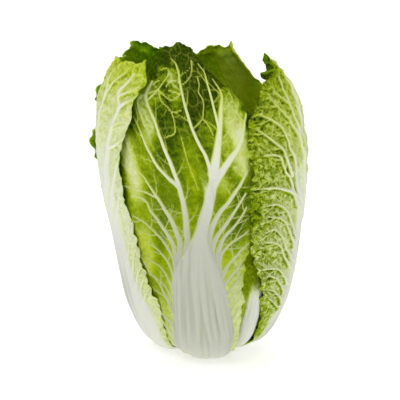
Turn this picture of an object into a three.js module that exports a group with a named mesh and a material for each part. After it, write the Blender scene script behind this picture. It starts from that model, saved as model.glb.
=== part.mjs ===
// A head of napa cabbage, standing on its cut stump: a short conical stump with leaves growing round it in rings, down
// to a heart. Each leaf is a broad fleshy rib that thins upwards, with a thin waved blade on both sides of it.
// Millimetres, +Z up. The origin is the centre of the stump's cut face, and the front leaf faces -Y.
import * as THREE from "three";

// ---- Driving dimensions ----
const HEAD_HEIGHT = 280;
const HEAD_RADIUS = 95;
const STUMP_HEIGHT = 62;
const BLADE_THICKNESS = 1.1;
const RIB_THICKNESS = 6.5; // the fleshy rib near the stump, on top of the blade
const RIB_HALF_WIDTH = 27;
const LEAF_GAP = 0.9; // between a leaf's foot and the stump
const WAVES_ALONG_MARGIN = 6;

// ---- Shells: every leaf lies between an outer and an inner profile, which run from the stump to the leaf tips ----
// Each pair is a share of the head's radius and a share of its height.
const OUTER_PROFILE = [
  [0.25, 0.011],
  [0.57, 0.046],
  [0.75, 0.164],
  [0.84, 0.286],
  [0.905, 0.407],
  [0.97, 0.529],
  [1.0, 0.654],
  [0.98, 0.775],
  [0.87, 0.893],
  [0.63, 1.01],
];
const INNER_PROFILE = [
  [0.07, 0.214],
  [0.12, 0.257],
  [0.16, 0.307],
  [0.19, 0.364],
  [0.2, 0.421],
  [0.2, 0.482],
  [0.19, 0.543],
  [0.17, 0.604],
  [0.14, 0.664],
  [0.09, 0.714],
];

// A smooth curve through evenly spaced values, read at share 0 to 1.
function spline(values, share) {
  const last = values.length - 1;
  const place = THREE.MathUtils.clamp(share, 0, 1) * last;
  const i = Math.min(Math.floor(place), last - 1);
  const [before, start] = [values[Math.max(i - 1, 0)], values[i]];
  const [end, after] = [values[i + 1], values[Math.min(i + 2, last)]];
  const w = place - i;
  const [slopeStart, slopeEnd] = [(end - before) / 2, (after - start) / 2];
  const cubic = 2 * start - 2 * end + slopeStart + slopeEnd;
  const square = 3 * end - 3 * start - 2 * slopeStart - slopeEnd;
  return ((cubic * w + square) * w + slopeStart) * w + start;
}

const column = (pairs, which) => pairs.map((pair) => pair[which]);
const PROFILES = {
  outer: { r: column(OUTER_PROFILE, 0), z: column(OUTER_PROFILE, 1) },
  inner: { r: column(INNER_PROFILE, 0), z: column(INNER_PROFILE, 1) },
};

// Radius and height of the shell at a depth (0 outermost, 1 innermost) and a share of the way from stump to tip.
function shell(depth, share) {
  const mix = (key) =>
    THREE.MathUtils.lerp(spline(PROFILES.outer[key], share), spline(PROFILES.inner[key], share), depth);
  return { r: mix("r") * HEAD_RADIUS, z: mix("z") * HEAD_HEIGHT };
}

// ---- One leaf ----
// Lists run from the stump to the tip. axis is the rib's azimuth in degrees, 0 at the front and growing towards +X.
// left and right are how far the blade reaches to either side of it, in degrees. A depth is one number or such a list.
// flare is how far the top leans out at the left margin, the rib and the right margin. crest is the rise and fall of
// the tip's edge, from the left margin to the right.
const RIB_WIDTH_ALONG = [0.85, 1.0, 0.94, 0.8, 0.62, 0.4, 0.26, 0.16, 0.1, 0.06];
const RIB_THICKNESS_ALONG = [0.75, 0.95, 1.0, 0.85, 0.62, 0.42, 0.3, 0.22, 0.14, 0.06];
const RIB_COLUMNS = 0.3; // share of the grid's columns that the rib takes
const RIB_MOST_OF_BLADE = 0.85;
const AZIMUTH_STEP = 1e-3;
const FULL_TURN = 2 * Math.PI;
const smooth = (x, from, to) => THREE.MathUtils.smoothstep(x, from, to);
const along = (value, v) => (Array.isArray(value) ? spline(value, v) : value);

// Where a grid place lies across the leaf: its azimuth, and its share of the way from the rib's middle to the margin.
function across(leaf, c, v) {
  const { r } = shell(along(leaf.depth.rib, v), v * leaf.reach);
  const half = THREE.MathUtils.degToRad(spline(c < 0 ? leaf.left : leaf.right, v));
  const ribHalf = Math.min((spline(RIB_WIDTH_ALONG, v) * RIB_HALF_WIDTH * leaf.size) / r, half * RIB_MOST_OF_BLADE);
  const side = Math.abs(c);
  const angle =
    side < RIB_COLUMNS
      ? (side / RIB_COLUMNS) * ribHalf
      : ribHalf + ((side - RIB_COLUMNS) / (1 - RIB_COLUMNS)) * (half - ribHalf);
  return {
    azimuth: THREE.MathUtils.degToRad(spline(leaf.axis, v)) + Math.sign(c) * angle,
    toMargin: angle / half,
    place: 0.5 + (Math.sign(c) * angle) / half / 2, // from 0 at the left margin to 1 at the right
    acrossRib: angle / ribHalf,
  };
}

// A point of the leaf's inner face. c runs from -1 at the left margin to 1 at the right, v from 0 at the stump to 1.
function innerFace(leaf, c, v) {
  const { azimuth, toMargin, place } = across(leaf, c, v);
  const ribDepth = along(leaf.depth.rib, v);
  const edgeDepth = along(c < 0 ? leaf.depth.left : leaf.depth.right, v);
  const depth = THREE.MathUtils.lerp(ribDepth, edgeDepth, smooth(toMargin, 0.15, 0.65));
  const { r, z } = shell(depth, v * leaf.reach);
  const wave = Math.sin(FULL_TURN * WAVES_ALONG_MARGIN * v + leaf.phase + 2 * Math.sign(c));
  const height = edgeDepth < ribDepth ? leaf.ruffle.over : leaf.ruffle.under;
  const ruffle = height * toMargin ** 3 * smooth(v, 0.05, 0.4) * (0.5 + 0.5 * wave);
  const radius = r + ruffle + spline(leaf.flare, place) * smooth(v, 0.5, 0.95);
  return new THREE.Vector3(
    Math.sin(azimuth) * radius,
    -Math.cos(azimuth) * radius,
    z + spline(leaf.crest, place) * v ** 6 + leaf.lift * smooth(v, 0.7, 1),
  );
}

// The direction out of the leaf, away from the head's heart.
function outward(leaf, c, v) {
  const limit = (x, low) => THREE.MathUtils.clamp(x, low, 1);
  const right = innerFace(leaf, limit(c + AZIMUTH_STEP, -1), v);
  const left = innerFace(leaf, limit(c - AZIMUTH_STEP, -1), v);
  const above = innerFace(leaf, c, limit(v + AZIMUTH_STEP, 0));
  const below = innerFace(leaf, c, limit(v - AZIMUTH_STEP, 0));
  return right.sub(left).cross(above.sub(below)).normalize();
}

function thickness(leaf, c, v) {
  const { acrossRib } = across(leaf, c, v);
  const crown = Math.max(0, 1 - acrossRib ** 2) ** 0.8;
  return BLADE_THICKNESS + RIB_THICKNESS * leaf.size * spline(RIB_THICKNESS_ALONG, v) * crown;
}

// A closed solid: a grid on the inner face, the same grid pushed out by the thickness, and a strip round the rim.
function leafGeometry(leaf) {
  const { columns, rows } = leaf.grid;
  const points = [[], []];
  for (let row = 0; row <= rows; row++) {
    for (let col = 0; col <= columns; col++) {
      const [c, v] = [(2 * col) / columns - 1, row / rows];
      const inner = innerFace(leaf, c, v);
      points[0].push(inner);
      points[1].push(inner.clone().addScaledVector(outward(leaf, c, v), thickness(leaf, c, v)));
    }
  }
  const index = (face, row, col) => face * (rows + 1) * (columns + 1) + row * (columns + 1) + col;
  const triangles = [];
  const quad = (a, b, c, d) => triangles.push(a, b, c, a, c, d);
  for (let row = 0; row < rows; row++) {
    for (let col = 0; col < columns; col++) {
      const corners = (face) => [
        index(face, row, col),
        index(face, row, col + 1),
        index(face, row + 1, col + 1),
        index(face, row + 1, col),
      ];
      const [a, b, c, d] = corners(0);
      triangles.push(a, c, b, a, d, c);
      quad(...corners(1));
    }
  }
  for (let row = 0; row < rows; row++) {
    quad(index(0, row, 0), index(1, row, 0), index(1, row + 1, 0), index(0, row + 1, 0));
    quad(index(0, row, columns), index(0, row + 1, columns), index(1, row + 1, columns), index(1, row, columns));
  }
  for (let col = 0; col < columns; col++) {
    quad(index(0, 0, col), index(0, 0, col + 1), index(1, 0, col + 1), index(1, 0, col));
    quad(index(0, rows, col), index(1, rows, col), index(1, rows, col + 1), index(0, rows, col + 1));
  }
  const positions = points.flat().flatMap((point) => point.toArray());
  return new THREE.BufferGeometry()
    .setAttribute("position", new THREE.Float32BufferAttribute(positions, 3))
    .setIndex(triangles);
}

// ---- The stump: a cone with a rounded tip, cut flat below ----
function stumpGeometry() {
  const foot = shell(0, 0);
  const tip = shell(1, 0);
  const slope = (foot.r - tip.r) / (tip.z - foot.z);
  const flank = (z) => foot.r - slope * (z - foot.z) - LEAF_GAP;
  const chamfer = 1.5;
  const profile = [
    new THREE.Vector2(0, 0),
    new THREE.Vector2(flank(0) - chamfer, 0),
    new THREE.Vector2(flank(chamfer), chamfer),
    new THREE.Vector2(flank(STUMP_HEIGHT / 2), STUMP_HEIGHT / 2),
    new THREE.Vector2(flank(STUMP_HEIGHT - 4), STUMP_HEIGHT - 4),
    new THREE.Vector2(flank(STUMP_HEIGHT) - 2, STUMP_HEIGHT),
    new THREE.Vector2(0, STUMP_HEIGHT + 1),
  ];
  return new THREE.LatheGeometry(profile, 28).rotateX(Math.PI / 2);
}

// ---- The leaves ----
const FINE = { columns: 14, rows: 22 };
const MEDIUM = { columns: 10, rows: 14 };
const COARSE = { columns: 8, rows: 10 };

// The outer ring. Each margin passes over (shallow) or under (deep) its neighbour's.
const OVER = 0.02;
const UNDER = 0.105;
const WAVY_CREST = [-2, 4, -3, 4, -2];
const UPRIGHT = [0, 0, 0];
const OUTER_LEAVES = [
  {
    name: "leaf_front",
    axis: [2, 1, -2, -4, -2, 2, -6, -14, -26],
    left: [40, 40, 48, 53, 57, 60, 52, 25, 13],
    right: [34, 29, 29, 29, 32, 38, 46, 33, 14],
    depth: { rib: 0.09, left: [0.125, 0.115, 0.11, 0.105, 0.1, 0.1, 0.1, 0.1, 0.1], right: 0.06 },
    ruffle: { over: 1, under: 1 },
    lift: 17,
    crest: [0, -2, 0, 0, -4],
  },
  {
    name: "leaf_left",
    axis: [-62, -68, -70, -69, -67, -66, -69, -75, -80],
    left: [26, 28, 33, 39, 45, 47, 44, 40, 24],
    right: [17, 31, 35, 30, 22, 15, 18, 32, 40],
    depth: {
      rib: [0.16, 0.14, 0.12, 0.1, 0.08, 0.06, 0.06, 0.06, 0.06],
      left: [0.14, 0.13, 0.12, 0.11, UNDER, UNDER, UNDER, UNDER, UNDER],
      right: [0.12, 0.09, 0.07, 0.05, 0.06, 0.07, 0.07, 0.065, 0.05],
    },
    ruffle: { over: 1, under: 1 },
    reach: 0.93,
    lift: 14,
    flare: [4, 8, 6],
    crest: [2, 2, 3, 2, 6],
  },
  {
    name: "leaf_right",
    axis: [82, 90, 88, 81, 71, 67, 66, 67, 72],
    left: [27, 38, 42, 47, 46, 42, 42, 37, 13],
    right: [26, 28, 32, 38, 46, 50, 50, 34, 16],
    depth: {
      rib: [0.11, 0.09, 0.07, 0.06, 0.055, 0.06, 0.06, 0.06, 0.06],
      left: [0.08, 0.06, 0.04, OVER, OVER, OVER, OVER, OVER, OVER],
      right: [0.12, 0.1, 0.07, 0.05, 0.06, 0.075, 0.075, 0.075, 0.07],
    },
    ruffle: { over: 4, under: 1 },
    crest: [-9, -2, 0, 0, -4],
  },
  {
    name: "leaf_back_left",
    axis: [-138, -138, -140, -142, -142, -142, -142, -140, -138],
    left: [22, 22, 24, 28, 34, 38, 40, 42, 30],
    right: [24, 26, 31, 35, 39, 46, 46, 42, 27],
    depth: { rib: 0.09, left: UNDER, right: OVER },
    ruffle: { over: 7, under: 1 },
    flare: [4, 6, 7],
    crest: [-2, -1, 0, -2, -1],
  },
  {
    name: "leaf_back_right",
    axis: [150, 152, 154, 155, 156, 157, 157, 156, 156],
    left: [28, 30, 34, 40, 46, 47, 37, 17, 1],
    right: [24, 26, 32, 38, 42, 44, 46, 44, 28],
    depth: { rib: 0.09, left: UNDER, right: OVER },
    ruffle: { over: 4, under: 1 },
    flare: [0, 4, 6],
    crest: [0, 2, 0, -6, -12],
  },
  {
    name: "leaf_front_right",
    axis: [42, 42],
    left: [24, 28, 30, 31, 31, 31, 31, 28, 16],
    right: [16, 20, 27, 36, 40, 42, 40, 30, 12],
    depth: { rib: 0.17, left: 0.17, right: 0.14 },
    ruffle: { over: 1, under: 1 },
    size: 0.8,
    reach: 0.62,
    grid: MEDIUM,
  },
].map((leaf, i) => ({
  size: 1,
  reach: 1,
  lift: 0,
  flare: UPRIGHT,
  crest: WAVY_CREST,
  phase: 1.7 * i,
  grid: FINE,
  ...leaf,
}));

// The rings inside, each narrower and shorter than the last, with margins over one neighbour and under the next.
const BLADE_HALF_WIDTH = [30, 34, 40, 50, 58, 62, 60, 48, 20];
const RINGS = [
  {
    name: "second",
    depth: 0.225,
    widen: 0.85,
    azimuths: [108, 180, -110, -46],
    reaches: [0.78, 0.85, 0.87, 0.95],
    size: 0.8,
    grid: MEDIUM,
  },
  {
    name: "third",
    depth: 0.365,
    widen: 1.0,
    azimuths: [0, 84, 165, -85],
    reaches: [0.9, 0.85, 0.85, 0.88],
    size: 0.66,
    grid: COARSE,
  },
  {
    name: "fourth",
    depth: 0.5,
    widen: 1.36,
    azimuths: [50, 170, -65],
    reaches: [0.86, 0.84, 0.9],
    size: 0.55,
    grid: COARSE,
  },
  { name: "fifth", depth: 0.66, widen: 1.5, azimuths: [0, 120, -120], reaches: [0.9, 0.88, 0.89], size: 0.42, grid: COARSE },
  { name: "heart", depth: 0.86, widen: 1.9, azimuths: [75, -105], reaches: [0.95, 1], size: 0.3, grid: COARSE },
];
const EDGE_DEPTH = 0.035;

const innerRings = RINGS.flatMap((ring) =>
  ring.azimuths.map((azimuth, i) => {
    const half = BLADE_HALF_WIDTH.map((angle) => angle * ring.widen);
    return {
      name: `leaf_${ring.name}_${i + 1}`,
      axis: [azimuth, azimuth],
      left: half,
      right: half,
      depth: { rib: ring.depth, left: ring.depth + EDGE_DEPTH, right: ring.depth - EDGE_DEPTH },
      ruffle: { over: 1.5, under: 1 },
      lift: 0,
      flare: UPRIGHT,
      crest: WAVY_CREST,
      size: ring.size,
      reach: ring.reaches[i],
      phase: 2.3 * i + 10 * ring.depth,
      grid: ring.grid,
    };
  }),
);

// ---- The head ----
const STUMP = new THREE.MeshStandardMaterial({ color: 0xe6e2cc, roughness: 0.6, metalness: 0 });
const OUTER_LEAF = new THREE.MeshStandardMaterial({ color: 0xa9bf45, roughness: 0.5, metalness: 0 });
const INNER_LEAF = new THREE.MeshStandardMaterial({ color: 0xd3d97c, roughness: 0.5, metalness: 0 });

function part(name, geometry, material) {
  const mesh = new THREE.Mesh(geometry, material);
  mesh.name = name;
  return mesh;
}

const head = new THREE.Group();
head.add(part("stump", stumpGeometry(), STUMP));
OUTER_LEAVES.forEach((leaf) => head.add(part(leaf.name, leafGeometry(leaf), OUTER_LEAF)));
innerRings.forEach((leaf) => head.add(part(leaf.name, leafGeometry(leaf), INNER_LEAF)));

export default head;
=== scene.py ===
"""Napa cabbage: the look of every leaf and of the stump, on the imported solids.

Each leaf follows the same shells as its solid, on a much finer grid. Veins are drawn on the leaf's own flat
coordinates, raise the surface and drive the colours. Lengths are millimetres until the meshes are made.
"""

import math
from types import SimpleNamespace

import bpy
import numpy as np
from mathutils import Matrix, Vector


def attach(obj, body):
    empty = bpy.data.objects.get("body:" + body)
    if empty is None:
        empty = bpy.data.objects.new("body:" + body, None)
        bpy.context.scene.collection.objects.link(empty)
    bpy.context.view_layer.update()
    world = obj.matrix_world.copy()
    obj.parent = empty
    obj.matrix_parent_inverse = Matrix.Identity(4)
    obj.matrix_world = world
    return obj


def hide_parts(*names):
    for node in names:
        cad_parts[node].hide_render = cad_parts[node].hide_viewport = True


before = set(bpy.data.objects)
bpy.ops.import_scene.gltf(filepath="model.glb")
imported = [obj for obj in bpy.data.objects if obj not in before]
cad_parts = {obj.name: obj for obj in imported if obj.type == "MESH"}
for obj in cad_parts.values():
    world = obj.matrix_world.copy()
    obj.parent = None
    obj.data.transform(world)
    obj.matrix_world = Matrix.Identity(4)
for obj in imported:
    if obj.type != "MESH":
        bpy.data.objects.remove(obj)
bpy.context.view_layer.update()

MM = 0.001
FULL_TURN = 2 * math.pi

# ---- The photograph's camera ----
PHOTO_PIXELS = 400
FOCAL_PIXELS = 1436
TARGET_PIXEL = (205, 202.7)  # where the target falls in the photograph
TARGET_HEIGHT = 140
CAMERA_DISTANCE = 1300
CAMERA_RISE = math.radians(15)

# ---- The head's shells, as in the solids ----
HEAD_HEIGHT = 280
HEAD_RADIUS = 95
STUMP_HEIGHT = 62
BLADE_THICKNESS = 1.1
RIB_THICKNESS = 6.5
RIB_HALF_WIDTH = 27
WAVES_ALONG_MARGIN = 6
OUTER_PROFILE = np.array(
    [(0.25, 0.011), (0.57, 0.046), (0.75, 0.164), (0.84, 0.286), (0.905, 0.407)]
    + [(0.97, 0.529), (1.0, 0.654), (0.98, 0.775), (0.87, 0.893), (0.63, 1.01)]
)
INNER_PROFILE = np.array(
    [(0.07, 0.214), (0.12, 0.257), (0.16, 0.307), (0.19, 0.364), (0.2, 0.421)]
    + [(0.2, 0.482), (0.19, 0.543), (0.17, 0.604), (0.14, 0.664), (0.09, 0.714)]
)
RIB_WIDTH_ALONG = [0.85, 1.0, 0.94, 0.8, 0.62, 0.4, 0.26, 0.16, 0.1, 0.06]
RIB_THICKNESS_ALONG = [0.75, 0.95, 1.0, 0.85, 0.62, 0.42, 0.3, 0.22, 0.14, 0.06]
RIB_MOST_OF_BLADE = 0.85


def spline(values, share):
    """A smooth curve through evenly spaced values, read at shares from 0 to 1."""
    values = np.asarray(values, float)
    last = len(values) - 1
    place = np.clip(share, 0, 1) * last
    i = np.minimum(place.astype(int), last - 1)
    w = place - i
    before, start = values[np.maximum(i - 1, 0)], values[i]
    end, after = values[i + 1], values[np.minimum(i + 2, last)]
    slope_start, slope_end = (end - before) / 2, (after - start) / 2
    cubic = 2 * start - 2 * end + slope_start + slope_end
    square = 3 * end - 3 * start - 2 * slope_start - slope_end
    return ((cubic * w + square) * w + slope_start) * w + start


def listed(values, share):
    """Straight lines through evenly spaced values."""
    return np.interp(share, np.linspace(0, 1, len(values)), values)


def smooth(x, low, high):
    t = np.clip((x - low) / (high - low), 0, 1)
    return t * t * (3 - 2 * t)


def mix(a, b, t):
    return a + (b - a) * t


def shell(depth, share):
    """Radius and height at a depth (0 outermost, 1 innermost) and a share of the way from stump to tip."""
    r = mix(spline(OUTER_PROFILE[:, 0], share), spline(INNER_PROFILE[:, 0], share), depth)
    z = mix(spline(OUTER_PROFILE[:, 1], share), spline(INNER_PROFILE[:, 1], share), depth)
    return r * HEAD_RADIUS, z * HEAD_HEIGHT


def photo_pixels(points):
    """Where points fall in the photograph."""
    x, y, z = points[..., 0], points[..., 1], points[..., 2] - TARGET_HEIGHT
    up = z * math.cos(CAMERA_RISE) + y * math.sin(CAMERA_RISE)
    away = CAMERA_DISTANCE + y * math.cos(CAMERA_RISE) - z * math.sin(CAMERA_RISE)
    return TARGET_PIXEL[0] + FOCAL_PIXELS * x / away, TARGET_PIXEL[1] - FOCAL_PIXELS * up / away


# ---- Noise ----
LATTICE = 64


def noise(x, y, size, seed):
    """Smooth noise from -1 to 1 that changes over about size millimetres."""
    table = np.random.default_rng(seed).uniform(-1, 1, (LATTICE, LATTICE))
    x, y = np.broadcast_arrays(np.asarray(x, float) / size, np.asarray(y, float) / size)
    ix, iy = np.floor(x).astype(int), np.floor(y).astype(int)
    fx, fy = smooth(x - ix, 0, 1), smooth(y - iy, 0, 1)

    def at(dx, dy):
        return table[(iy + dy) % LATTICE, (ix + dx) % LATTICE]

    return mix(mix(at(0, 0), at(1, 0), fx), mix(at(0, 1), at(1, 1), fx), fy)


def layered_noise(x, y, size, seed):
    total = noise(x, y, size, seed) + 0.5 * noise(x, y, size / 2.1, seed + 1)
    return (total + 0.25 * noise(x, y, size / 4.3, seed + 2)) / 1.5


def cell_edges(x, y, size, seed):
    """Distance in millimetres from each point to the nearest wall between cells of about that size."""
    jitter = np.random.default_rng(seed).uniform(0.08, 0.92, (LATTICE, LATTICE, 2))
    x, y = x / size, y / size
    ix, iy = np.floor(x).astype(int), np.floor(y).astype(int)

    def to_centres(reach):
        """Steps from each point to the centres of the cells that are up to reach away from its own."""
        for dx in range(-reach, reach + 1):
            for dy in range(-reach, reach + 1):
                j = jitter[(iy + dy) % LATTICE, (ix + dx) % LATTICE]
                yield ix + dx + j[..., 0] - x, iy + dy + j[..., 1] - y

    nearest, wall = np.full(x.shape, np.inf), np.full(x.shape, np.inf)
    home_x, home_y = np.zeros(x.shape), np.zeros(x.shape)
    for sx, sy in to_centres(1):
        closer = sx * sx + sy * sy < nearest
        nearest = np.where(closer, sx * sx + sy * sy, nearest)
        home_x, home_y = np.where(closer, sx, home_x), np.where(closer, sy, home_y)
    for sx, sy in to_centres(2):
        gap_x, gap_y = sx - home_x, sy - home_y
        gap = np.hypot(gap_x, gap_y)
        middle = ((sx + home_x) * gap_x + (sy + home_y) * gap_y) / 2 / np.maximum(gap, 1e-6)
        wall = np.where(gap > 1e-6, np.minimum(wall, middle), wall)
    return wall * size


# ---- Veins, drawn on the leaf's flat coordinates ----
STROKE_STEP = 2.0
VEIN_FADE = (0.55, 1.5)  # where a vein's white begins to fade and where it ends, in half-widths
NOWHERE_NEAR = 20.0
NEAR_REACH = 9.0  # how far from a vein its distance is kept


def lengths_along(path):
    """How far along the path each of its places is."""
    return np.concatenate([[0], np.cumsum(np.hypot(*np.diff(path, axis=0).T))])


class Veins:
    """How white each place is, how far a vein lifts it, and its distance to the nearest vein that counts."""

    def __init__(self, flat_x, flat_y):
        self.x, self.y = flat_x, flat_y
        self.rows = flat_y[:, 0]
        self.white = np.zeros(flat_x.shape)
        self.ridge = np.zeros(flat_x.shape)
        self.near = np.full(flat_x.shape, NOWHERE_NEAR)

    def stroke(self, path, widths, whites, heights, counts=True):
        """A tapering vein along path, whose half-widths, whites and heights are listed from start to end."""
        path = np.asarray(path, float)
        distances = lengths_along(path)
        length = distances[-1]
        if length < STROKE_STEP / 4:
            return
        ticks = np.linspace(0, length, max(2, int(length / STROKE_STEP) + 1))
        points = np.stack([np.interp(ticks, distances, values) for values in path.T], 1)
        for a, b, s in zip(points[:-1], points[1:], ticks[:-1] / length):
            width, white, height = (listed(values, s) for values in (widths, whites, heights))
            self._segment(a, b, width, white, height, counts)

    def _segment(self, a, b, width, white, height, counts):
        reach = NEAR_REACH if counts else 3 * width + 0.5
        low, high = np.minimum(a, b) - reach, np.maximum(a, b) + reach
        r0, r1 = np.searchsorted(self.rows, (low[1], high[1]))
        if r1 <= r0:
            return
        middle = self.x[min((r0 + r1) // 2, len(self.rows) - 1)]
        c0, c1 = np.searchsorted(middle, (low[0] - 2, high[0] + 2))
        if c1 <= c0:
            return
        box = np.s_[r0:r1, c0:c1]
        d = b - a
        px, py = self.x[box] - a[0], self.y[box] - a[1]
        t = np.clip((px * d[0] + py * d[1]) / max(d @ d, 1e-9), 0, 1)
        gap = np.hypot(px - t * d[0], py - t * d[1])
        q = gap / width
        self.white[box] = np.maximum(self.white[box], white * (1 - smooth(q, *VEIN_FADE)))
        self.ridge[box] = np.maximum(self.ridge[box], height * np.exp(-1.2 * q * q))
        if counts:
            self.near[box] = np.minimum(self.near[box], np.maximum(gap - width, 0))


# ---- One leaf ----
# Lists run from the foot to the tip, and triples from the left margin over the rib to the right margin.
DEFAULTS = dict(
    size=1,  # of its rib and veins
    reach=1,  # how far up the shells it goes
    crest=(-2, 4, -3, 4, -2),  # rise and fall of the tip's edge, from the left margin to the right
    lift=0,  # how much higher its top stands
    flare=(0, 0, 0),  # how far the top leans out
    ruffle=(1, 1),  # height of the margin's waves where it passes over its neighbour's, and under it
    grid=(200, 300),
    rib=None,  # the rib's half-widths in degrees, left and right, where they differ from the usual
    rib_fade=0.1,  # how far below its end the rib begins to turn green
    rib_end=0.8,  # where the white rib has narrowed to its main vein
    side_veins={-1: (0.08, 0.86, 15), 1: (0.08, 0.86, 15)},  # first, last and how many on a side
    main_vein=True,
    strands=(),  # veins that the photograph shows, each with its half-widths and then its pixels
    branch_gap=14,
    twig=0.8,  # half-width of a branch where it leaves a strand
    relief=1,  # how far veins stand out
    steep=(1.0, 1.8, 1.3),  # rise of a side vein for its run
    sink=1.2,  # how far the blade sinks between veins
    waves=1.5,  # height of the blade's broad undulation
    puckers=0.6,  # height of its small undulation
    frill=2.0,  # height of the curls along the margin
    ragged=2.5,  # how far the margin's outline wanders
    lobes=(),  # where the margin reaches further: side, share of the length, half-height in shares, reach
    tone=(0.25, 0.3, 0.35, 0.42, 0.5, 0.55, 0.6, 0.7, 0.85),  # green, from 0 white to 1 darkest
    across=(0, 0, 0),  # what is added to the tone
    # where the leaf is made lighter or darker, for its own colour and as painted light and painted shade:
    # pixel, half-width, half-height, change of tone and of bloom
    patches=(),
    bloom=(0, 0),  # how much white there is in the green
    net=(0.3, 0.3, 0.3, 0.35, 0.4, 0.5, 0.6, 0.7, 0.8),  # how clearly the net of small veins shows
    crinkle=(0.4, 0.4),  # how strong the fine relief of the green is, with painted shade in its dents and painted light on its tops
    crinkle_across=(1, 1, 1),  # its share
    vein_shade=0,  # painted shadow just below each vein: how much it darkens the green
    flesh_shade=0.3,  # painted shade that greys the white flesh, from 0 to 1
    stripes=0.7,  # how dark the painted shade is in the hollows between the rib's ridges
    seen_inside=False,  # whether the photograph shows the leaf's inner face
    inner_tone=0,  # what is added to the tone on the inner face
    inner_green=0.5,  # how much deeper the inner face's green is
    inner_white=0.3,  # how clearly the rib and veins show on the inner face
)


def along(value, v):
    """A value that is the same all along the leaf, or a list of them from the foot to the tip."""
    return value if np.isscalar(value) else spline(value, v)


def edge_depth(leaf, c, v):
    return np.where(c < 0, along(leaf.left_depth, v), along(leaf.right_depth, v))


def half_angle(leaf, side, v):
    return np.radians(spline(leaf.left if side < 0 else leaf.right, v))


def rib_half_angle(leaf, side, v):
    """Half the rib's width in radians: the leaf's own list where it has one, and otherwise the solids'."""
    if leaf.rib:
        wide = np.radians(spline(leaf.rib[0 if side < 0 else 1], v))
    else:
        r, _ = shell(along(leaf.rib_depth, v), v * leaf.reach)
        wide = spline(RIB_WIDTH_ALONG, v) * RIB_HALF_WIDTH * leaf.size / r
    return np.minimum(wide, half_angle(leaf, side, v) * RIB_MOST_OF_BLADE)


def both_sides(angle, leaf, c, v):
    """half_angle or rib_half_angle at every place of a grid."""
    return np.where(c < 0, angle(leaf, -1, v), angle(leaf, 1, v))


def lay_out(leaf, c, v):
    """The inner face as its solid has it, and where each place lies across the rib, whose edge is at 1."""
    angle = np.abs(c) * both_sides(half_angle, leaf, c, v)
    to_margin, side = np.abs(c), np.sign(c)
    rib_depth, edge = along(leaf.rib_depth, v), edge_depth(leaf, c, v)
    r, z = shell(mix(rib_depth, edge, smooth(to_margin, 0.15, 0.65)), v * leaf.reach)
    wave = np.sin(FULL_TURN * WAVES_ALONG_MARGIN * v + leaf.phase + 2 * side)
    height = np.where(edge < rib_depth, *leaf.ruffle)
    ruffle = height * to_margin**3 * smooth(v, 0.05, 0.4) * (0.5 + 0.5 * wave)
    radius = r + ruffle + spline(leaf.flare, (c + 1) / 2) * smooth(v, 0.5, 0.95)
    z = z + spline(leaf.crest, (c + 1) / 2) * v**6 + leaf.lift * smooth(v, 0.7, 1)
    azimuth = np.radians(spline(leaf.axis, v)) + side * angle
    return azimuth, radius, z, angle / both_sides(rib_half_angle, leaf, c, v)


def in_space(azimuth, radius, z):
    return np.stack([np.sin(azimuth) * radius, -np.cos(azimuth) * radius, z], -1)


def normals(points):
    n = np.cross(np.gradient(points, axis=1), np.gradient(points, axis=0))
    return n / np.maximum(np.linalg.norm(n, axis=-1, keepdims=True), 1e-9)


FLAT_STEPS = 400


class Flat:
    """The leaf rolled out flat: millimetres across from the rib's middle, and along from the foot."""

    def __init__(self, leaf):
        self.leaf = leaf
        self.v = np.linspace(0, 1, FLAT_STEPS)
        self.r, z = shell(along(leaf.rib_depth, self.v), self.v * leaf.reach)
        self.s = lengths_along(np.stack([self.r, z], 1))

    def y(self, v):
        return np.interp(v, self.v, self.s)

    def share(self, y):
        return np.interp(y, self.s, self.v)

    def radius(self, v):
        return np.interp(v, self.v, self.r)

    def margin(self, side, v):
        return side * half_angle(self.leaf, side, v) * self.radius(v)

    def rib(self, side, v):
        return side * rib_half_angle(self.leaf, side, v) * self.radius(v)

    def grid(self, c, v):
        return c * both_sides(half_angle, self.leaf, c, v) * self.radius(v), self.y(v)


TRACER_COLUMNS, TRACER_ROWS = 160, 240
VEINS_ABOVE_FACE = 2.5  # how far outside the inner face the veins lie on average


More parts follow.
